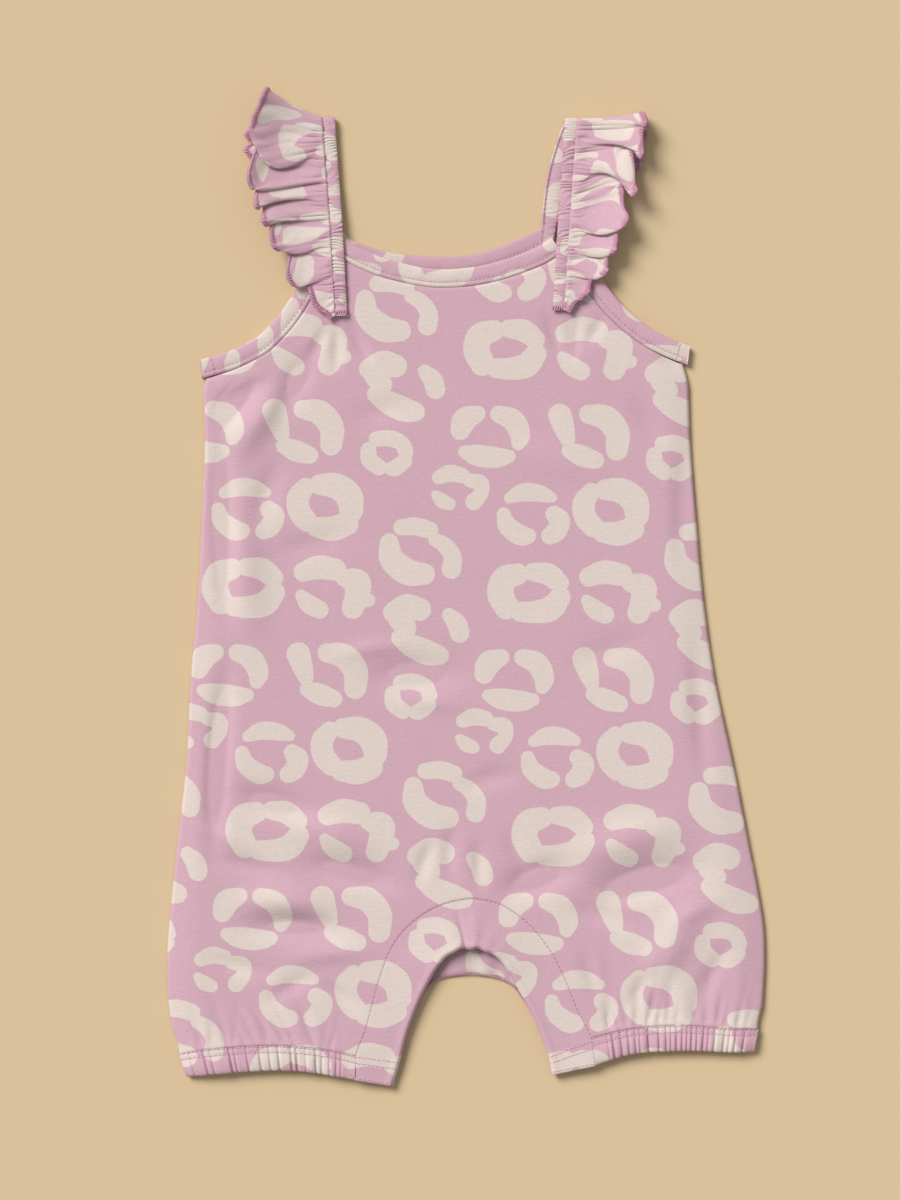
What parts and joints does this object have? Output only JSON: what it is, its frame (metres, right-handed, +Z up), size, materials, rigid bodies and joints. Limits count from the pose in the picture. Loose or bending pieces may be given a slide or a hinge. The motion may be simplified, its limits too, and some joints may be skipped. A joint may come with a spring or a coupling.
{
  "type": "baby romper",
  "caption": "Sleeveless leopard-print jersey romper laid flat, with gathered shoulder ruffles, elastic straps, arched crotch gusset and elastic leg hems.",
  "frame": {"origin": "centre of the bounding box, on the surface that the romper lies on", "axes": "+X to the right of the pictured garment, +Y from the legs towards the straps, +Z up from the surface, through the front"},
  "size_m": [0.2866, 0.4788, 0.0149],
  "materials": {
    "body_cloth": "fine cotton jersey, soft pink with cream leopard rosettes",
    "gusset": "fine cotton jersey, soft pink with cream leopard rosettes",
    "binding": "folded jersey binding, edge stitched in pink thread",
    "leg_hem": "jersey casing gathered on elastic, two rows of pink stitches",
    "elastic_strap": "jersey gathered over narrow elastic",
    "ruffle": "gathered jersey with a pink overlocked edge"
  },
  "bodies": {
    "root": {"front_body": "body_cloth", "back_body": "body_cloth", "front_gusset": "gusset", "back_gusset": "gusset", "front_neck_binding": "binding", "back_neck_binding": "binding", "front_armhole_binding_left": "binding", "front_armhole_binding_right": "binding", "back_armhole_binding_left": "binding", "back_armhole_binding_right": "binding", "front_leg_hem_left": "leg_hem", "front_leg_hem_right": "leg_hem", "back_leg_hem_left": "leg_hem", "back_leg_hem_right": "leg_hem", "strap_left": "elastic_strap", "strap_right": "elastic_strap", "ruffle_left": "ruffle", "ruffle_right": "ruffle"}
  },
  "joints": []
}
